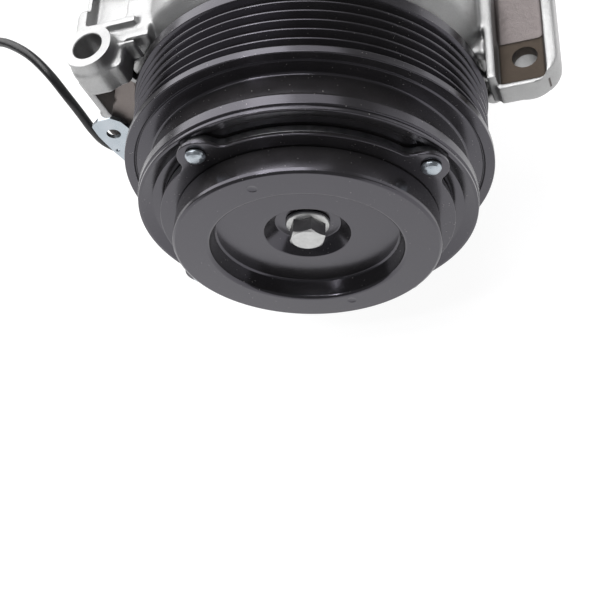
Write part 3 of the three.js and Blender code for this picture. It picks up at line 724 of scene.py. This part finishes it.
def make_hub():
    dish = turned("hub_pressing", [
        (8.8, -7), (12.5, -7, 0.4), (12.5, -17.8, 1), (15.4, -20.9, 1), (29.4, -20.9, 0.6),
        (32.1, -23, 0.6), (32.8, -28.1, 0.5), (40.9, -28.1, 0.5), (40.2, -20.3, 0.2),
        (42.2, -20.3, 0.3), (42.7, -28.2, 0.6), (42.6, -29.3, 0.5), (41.8, -29.85, 0.5),
        (30.9, -29.85, 1.4), (29.8, -24.0, 0.3), (29.2, -23.5, 0.3), (14, -23.5, 0.5),
        (10.6, -18.9, 0.5), (4.3, -18.9, 0.2), (4.3, -13.8), (8.8, -13.8),
    ], steps=224, fillets=6)
    punch = [(0, -30.3), (2.2, -30.3), (1.5, -29.7, 0.4), (0, -29.45)]
    for x, z in ((-4.2, 37.0), (4.1, -34.5)):
        carve(dish, [turned("dimple", punch, 32, x, z)])
    paint(dish, BLACK_COAT)
    stands(smooth(dish), "shaft", "black_coat", "hub_dish")
    paint(frame["nodes"]["hub_damper_rubber"], RUBBER)


def make_hub_bolt():
    head = slab("hex", hexagon(10.5), -26, -20.4, False, fillets=2)
    chamfer = turned("chamfer", [
        (0, -26.6), (4.4, -26.6), (4.9, -26.05, 0.3), (6.3, -25.2), (6.3, -20), (0, -20),
    ], steps=96)
    boolean(head, chamfer, "INTERSECT")
    flange = turned("flange", [
        (0, -20.9), (5.6, -20.9, 0.4), (6.9, -20.4, 0.3), (7.2, -20, 0.3), (7.2, -19.2, 0.2),
        (3.9, -19.2), (3.9, -2), (0, -2),
    ], steps=96)
    made = join("hub_bolt_head", [head, flange])
    stands(smooth(paint(made, FORGED_ZINC), math.radians(28)), "shaft", "zinc_plate", "hub_bolt")


make_hub()
make_hub_bolt()

# ---- Housings -------------------------------------------------------------------------------

BODY_R = 56.0
BOLTS = [around(0.8 + 72 * i, 57.0) for i in range(5)]
HOLE_R = 3.4
BELL_R = 62.0
LUG_R = 7.0
FRONT_LUG_R = 8.2
LEFT_EAR = (-56.4, 24.6)
RIGHT_EAR = (73.6, 26.2)
CLIP_SCREW = (-51.5, -2)
VALVE = (22, 14)
PLUG = (-22, 14)
SUCTION = (0, 84)
DISCHARGE = (0, 121.5)
PINS_R = 34.0
FEET_X = (-26, 26)
FRONT_FEET = (37, 53)  # from and to along Y
REAR_FEET = (114, 128)
REAR_WALL = COVER_END - 1.2
REAR_PAD_R = 11.0


def at_bolts(name, r, y0, y1, dome=0.0):
    """A round bar at each of the through bolts."""
    return [rod(f"{name}_{i}", r, y0, y1, *place, dome=dome) for i, place in enumerate(BOLTS)]


def feet(y0, y1):
    return [block("pad", (x - 8, x + 8), (y0, y1), (FLOOR_Z, -44)) for x in FEET_X]


def foot_cuts(y0, y1):
    """Screw holes up into the feet, and the milled plane under them."""
    y = (y0 + y1) / 2
    holes = [post("screw", HOLE_R, FLOOR_Z - 1, FLOOR_Z + 13, x, y) for x in FEET_X]
    plane = block("plane", (-60, 60), (y0 - 6, y1 + 6), (FLOOR_Z - 6, FLOOR_Z))
    return [*holes, plane]


def wide_cut(name, y0, y1):
    """A cutter over the whole width of the body, from y0 to y1."""
    return block(name, (-100, 100), (y0, y1), (-80, 80))


def left_ear():
    x, y = LEFT_EAR
    outside = -65.0
    arm = [
        (outside, 22, 4), (-62.8, 17.4, 4), (-59, 15.8, 4), (-54, 15.8, 3), (-50.4, 17.6, 2),
        (-46.8, 18.4, 1.6), (-46.4, 21, 1), (-46.4, 28.8), (-38, 28.8), (-38, 46),
        (outside, 46, 2),
    ]
    level = slab("arm", arm, 40, 49, True, fillets=6)
    tower = block("tower", (-63.6, -46), (45, 60), (22, 47))
    for part in (level, tower):
        carve(part, [block("pocket", (-61.4, -47), (38.6, 56.5), (43.5, 60))])
    web = [
        (-44, 42), (outside, 42), (outside, 38), (-73.5, 12, 2), (-77, 3, 2), (-76.4, -5, 3),
        (-71, -8, 2), (-64, -9), (-50, -9),
    ]
    return [
        post("boss", 8.3, 40, 55, x, y),
        level,
        block("outer_wall", (outside, -62.4), (20, 46), (24, 43)),
        slab("web", web, 33.5, 39, False),
        tower,
        block("rib_a", (-56, -42), (33.4, 36.4), (42, 51.4)),
        block("rib_b", (-52, -42), (25.6, 27), (42, 50.2)),
        rod("stud", 2.2, 26, 36, -68.4, 18.6, dome=1.0),
    ]


def right_ear():
    x, y = RIGHT_EAR
    inside = 64.6
    rim = [(inside, 13.6), (84.4, 13.6, 9.5), (84.4, 58, 4), (62, 58), (62, 29)]
    tray = slab("tray", rim, -1, 9.4, True, fillets=12)
    floor = block("floor", (inside, 80.4), (15.4, 59), (5, 11))
    deeper = [(inside, 33.6), (79.4, 33.6, 3), (80.4, 36, 1), (80.4, 59), (inside, 59)]
    back = slab("back", deeper, 2.2, 11, True)
    lip = block("lip", (inside - 1, 79.6), (12, 17), (7.4, 11))
    carve(tray, [floor, lip, back])
    return [
        tray,
        post("boss", 9.0, -6.5, 0, x, y),
        block("wall", (62, inside + 0.4), (15, 56), (-1, 12)),
        block("root", (62, inside + 0.4), (29, 56), (-12, 12)),
        block("bridge", (40, 63), (37, 58), (-12, 5)),
        rod("pin_a", 3.5, 28.5, 40, 59.6, -15.8, dome=1.8),
    ]


def make_front_housing():
    shell = turned("bell", [
        (0, 16), (20, 17.8), (20.6, 22.6, 3), (30, 27.2, 4), (32.4, 28.5), (BELL_R - 6, 28.5, 7),
        (BELL_R, 35, 6), (BELL_R, 60), (0, 60),
    ], steps=128)
    bosses = at_bolts("lug", FRONT_LUG_R, 28.4, 60, 1.5)
    parts = [shell, *bosses, *left_ear(), *right_ear(), *feet(*FRONT_FEET)]
    body = cast("front_casting", parts)
    nose = turned("nose", [
        (12, -5), (16.8, -5, 0.4), (17.3, -4.5), (17.3, -3.9), (16.4, -3.9), (16.4, -2.5),
        (17.3, -2.5), (17.3, 17.8), (17.3, 24), (12, 24),
    ], steps=128)
    core = turned("core", [
        (0, -8), (13.6, -8), (13.6, 29.5), (12, 30), (12, 36.2), (20.3, 36.2), (20.3, 49.8),
        (27, 49.8), (27, 62), (0, 62),
    ], steps=128)
    chamfer = turned("left_chamfer", [(0, 0), (5.25, 0), (4.95, 0.3), (0, 0.3)], 64)
    upright = Matrix.Rotation(math.radians(-90), 4, "X") @ Matrix.Translation(-at(0, 0, 0))
    chamfer.data.transform(Matrix.Translation(at(*LEFT_EAR, 54)) @ upright)
    cutters = [
        core, wide_cut("rear_plane", 60, 66), *at_bolts("seat", 5.5, 22, 35.3),
        post("left_bore", 5.0, 30, 62, *LEFT_EAR), post("right_bore", 4.1, -16, 14, *RIGHT_EAR),
        slab("left_face", circle(12, *LEFT_EAR, 48), 54, 60, True),
        slab("right_face", circle(10, *RIGHT_EAR, 48), -16, -5.5, True),
        chamfer, *at_bolts("hole", HOLE_R, 28, 61),
        *[rod(f"pin_{i}", 2.8, 56, 61, *around(45 + 90 * i, PINS_R)) for i in range(4)],
        block("lead_pocket", (-72, -38), (20, 40.4), (-25.2, -16.8), bevel=1),
        block("bracket_seat", (-72, -46.5), (20, 32.8), (-19, 8)),
        rod("screw_hole", 1.9, 30, 42, *CLIP_SCREW), *foot_cuts(*FRONT_FEET),
    ]
    machine(body, cutters, MACHINED)
    made = join_painted("front_casting", [body, paint(nose, MACHINED)])
    stands(smooth(made), "housing", "cast_aluminium", "front_housing")


def join_painted(name, parts):
    """Joins meshes and keeps the materials of each."""
    bm = bmesh.new()
    slots = []
    for part in parts:
        shift = []
        for material in part.data.materials:
            if material not in slots:
                slots.append(material)
            shift.append(slots.index(material))
        start = len(bm.faces)
        bm.from_mesh(part.data)
        bm.faces.ensure_lookup_table()
        for face in bm.faces[start:]:
            face.material_index = shift[min(face.material_index, len(shift) - 1)]
        bpy.data.objects.remove(part)
    return paint(from_bmesh(name, bm), *slots)


def make_shell():
    tube = turned("tube", [(30, 60.3), (BODY_R, 60.3), (BODY_R, 110), (30, 110)], steps=128)
    rib_r = BODY_R + 1.2
    ribs = [
        turned(f"belt_{y}", [(30, y), (rib_r, y), (rib_r, y + 4), (30, y + 4)], steps=128)
        for y in (62, 104)
    ]
    boss = post("suction", 13, 30, 67, *SUCTION)
    body = cast("scroll_casting", [tube, *ribs, boss, *at_bolts("lug", LUG_R, 60.3, 110)])
    bore = [(0, 59), (48.6, 59), (48.6, 106), (46, 106), (46, 111), (0, 111)]
    cutters = [
        turned("bore", bore, steps=128), wide_cut("front_plane", 50, 60.3),
        wide_cut("rear_plane", 110, 118), post("port", 8, 40, 70, *SUCTION),
        block("port_face", (-16, 16), (68, 100), (66, 72)),
        turned("ring_seat", [(49.8, 59), (52.7, 59), (52.7, 62.4), (49.8, 62.4)], steps=128),
        *at_bolts("hole", HOLE_R, 59, 112),
    ]
    machine(body, cutters, MACHINED)
    stands(smooth(body), "housing", "cast_aluminium", "scroll_shell")


def make_rear_cover():
    cup = turned("cup", [
        (0, 111), (BODY_R, 111), (BODY_R, 128, 2), (50, 134.6, 2), (0, 134.6),
    ], steps=128)
    boss = post("discharge", 10, 30, 63, *DISCHARGE)
    spokes = []
    outline = [(-1.6, 20), (1.6, 20), (1.6, 50), (-1.6, 50)]
    for i in range(3):
        spokes.append(slab(f"spoke_{i}", outline, 126, 134.4, False))
        spokes[-1].data.transform(Matrix.Rotation(math.radians(120 + 60 * i), 4, "Y"))
    parts = [cup, boss, *at_bolts("lug", LUG_R, 111, 128), *feet(*REAR_FEET), *spokes]
    body = cast("rear_casting", parts)
    behind = [
        (0, 134), (REAR_PAD_R, 134), (REAR_PAD_R, REAR_WALL), (90, REAR_WALL), (90, 140), (0, 140),
    ]
    cutters = [
        turned("cavity", [(0, 110), (41, 110), (41, 125), (34, 128), (0, 128)], steps=128),
        wide_cut("front_plane", 100, 111.4), turned("rear_plane", behind, 128),
        post("port", 6, 38, 70, *DISCHARGE), block("port_face", (-13, 13), (108, 135), (62, 70)),
        rod("valve_hole", 5.3, 120, 136, *VALVE), rod("plug_hole", 4.3, 120, 136, *PLUG),
        *at_bolts("hole", HOLE_R, 110, 126), *foot_cuts(*REAR_FEET),
    ]
    machine(body, cutters, MACHINED)
    stands(smooth(body), "housing", "cast_aluminium", "rear_cover")


make_front_housing()
make_shell()
make_rear_cover()

# ---- Fasteners and fittings -----------------------------------------------------------------


def hex_head(name, flats, y0, y1, x, z, finish_end, turn=0.0):
    """A hexagon head with its corners chamfered at finish_end, 'low' or 'high' along Y."""
    head = slab(name, hexagon(flats, x, z, turn), y0, y1, False, fillets=2)
    full, narrow, over = flats / math.sqrt(3) + 1, flats / 2 - 0.2, 0.01
    if finish_end == "low":
        low, above, below, high = narrow, narrow + 1.4, full, full
    else:
        low, above, below, high = full, full, narrow + 1.4, narrow
    cone = turned("cone", [
        (0, y0 - over), (low, y0 - over), (above, y0 + 1.0), (below, y1 - 1.0), (high, y1 + over),
        (0, y1 + over),
    ], 64, x, z)
    boolean(head, cone, "INTERSECT")
    return head


def make_bolts():
    ring = [(0, 33.6), (4.7, 33.6, 0.3), (5, 34.3), (5, 35), (0, 35)]
    for i, (x, z) in enumerate(BOLTS):
        head = hex_head("head", 8.6, 29.9, 34.2, x, z, "low", turn=math.radians(15 * i))
        collar = turned("collar", ring, 48, x, z)
        shank = rod("shank", 3, 34.6, REAR_WALL - 7.8, x, z)
        made = join(f"housing_bolt_{i + 1}", [head, collar, shank])
        stands(smooth(paint(made, FORGED_ZINC)), "housing", "zinc_plate", f"through_bolt_{i + 1}")


def make_plug(name, node, r, flats, x, z):
    head = hex_head("head", flats, REAR_WALL + 0.3, REAR_WALL + 6, x, z, "high")
    thread = rod("thread", r, 127, REAR_WALL + 1, x, z)
    made = join(name, [head, thread])
    stands(smooth(paint(made, FORGED_ZINC)), "housing", "zinc_plate", node)


def make_bracket():
    outline = [
        (-48.5, -7), (-60, -14, 3), (-72, -18.5, 1), (-76.2, -16.5, 0.5), (-77.7, -12.5, 0.8),
        (-78.8, -7, 0.8), (-79.9, 2.8, 0.8), (-79.7, 8.6, 0.6), (-76.2, 11.1, 0.6),
        (-71.2, 11.3, 0.6), (-68.5, 8.4, 0.6), (-67.3, 3.9, 0.6), (-60, 4.4, 2), (-48.5, 3.4),
    ]
    holes = [(-74, 2.9, 2.6), (-77.1, -6.4, 0.8), (*CLIP_SCREW, 2)]
    plate = slab("lead_clip_plate", outline, 31, 32.5, False, holes, bevel=0.18)
    stands(smooth(paint(plate, ZINC)), "housing", "zinc_plate", "lead_bracket")
    head = turned("head", [
        (0, 28.9), (2.2, 28.95, 0.6), (3.2, 29.7, 0.5), (3.2, 30.7), (1.6, 30.7), (1.6, 41),
        (0, 41),
    ], 48, *CLIP_SCREW)
    stands(smooth(paint(head, STEEL)), "housing", "bare_steel", "bracket_screw")
    head.name = "clip_screw"


make_bolts()
make_plug("pressure_relief", "relief_valve", 5, 13, *VALVE)
make_plug("drain_plug", "oil_plug", 4, 10, *PLUG)
make_bracket()

# ---- Carried CAD nodes ----------------------------------------------------------------------

FINISHES = {
    "bare_steel": STEEL, "zinc_plate": ZINC, "rubber": RUBBER, "machined_aluminium": MACHINED,
    "coil_resin": RESIN, "black_plastic": PLASTIC, "lead_sleeve": SLEEVE,
    "black_coat": BLACK_COAT, "cast_aluminium": CAST,
}
SPRING_STEEL = ("pulley_bearing_snap_ring", "nose_snap_ring", "seal_snap_ring", "discharge_reed")


def paint_nodes():
    slots = {s["node"]: s["material_slot"] for s in frame["record"]["subparts"]}
    for name, node in frame["nodes"].items():
        if not node.hide_render:
            paint(node, DARK_STEEL if name in SPRING_STEEL else FINISHES[slots[name]])


paint_nodes()

# ---- Floor and light ------------------------------------------------------------------------


def add_floor():
    bm = bmesh.new()
    bmesh.ops.create_grid(bm, x_segments=1, y_segments=1, size=4)
    floor = from_bmesh("floor", bm)
    floor.location = (0, 0, FLOOR_Z * MM - 0.0004)
    paint(floor, white_floor())


def area_light(name, place, size, power, target):
    data = bpy.data.lights.new(name, "AREA")
    data.shape = "RECTANGLE"
    data.size, data.size_y = size
    data.energy = power
    lamp = bpy.data.objects.new(name, data)
    bpy.context.scene.collection.objects.link(lamp)
    lamp.location = place
    lamp.rotation_euler = (target - place).to_track_quat("-Z", "Y").to_euler()


def add_light():
    """A dim room and five soft boxes, each aimed at the middle of the front housing."""
    world = bpy.data.worlds.new("studio")
    bpy.context.scene.world = world
    world.use_nodes = True
    background = world.node_tree.nodes["Background"]
    background.inputs["Color"].default_value = (0.95, 0.96, 1.0, 1)
    background.inputs["Strength"].default_value = 0.16
    middle = at(0, 40, 0)
    for name, direction, size, power in (
        ("overhead", (-0.45, 0.15, 1.2), (0.9, 0.8), 10),
        ("left_back", (-0.85, 0.68, 0.5), (1.4, 1.3), 14),
        ("right_back", (0.95, 0.5, 0.55), (0.5, 0.7), 0.9),
        ("sheen", (-0.22, 0.6, 0.93), (1.0, 0.6), 2.6),
        ("spark", (-0.8, -0.5, 1.1), (0.16, 0.16), 3),
    ):
        area_light(name, middle + from_view(*direction), size, power, middle)
    bpy.context.scene.view_settings.view_transform = "Standard"


add_floor()
add_light()
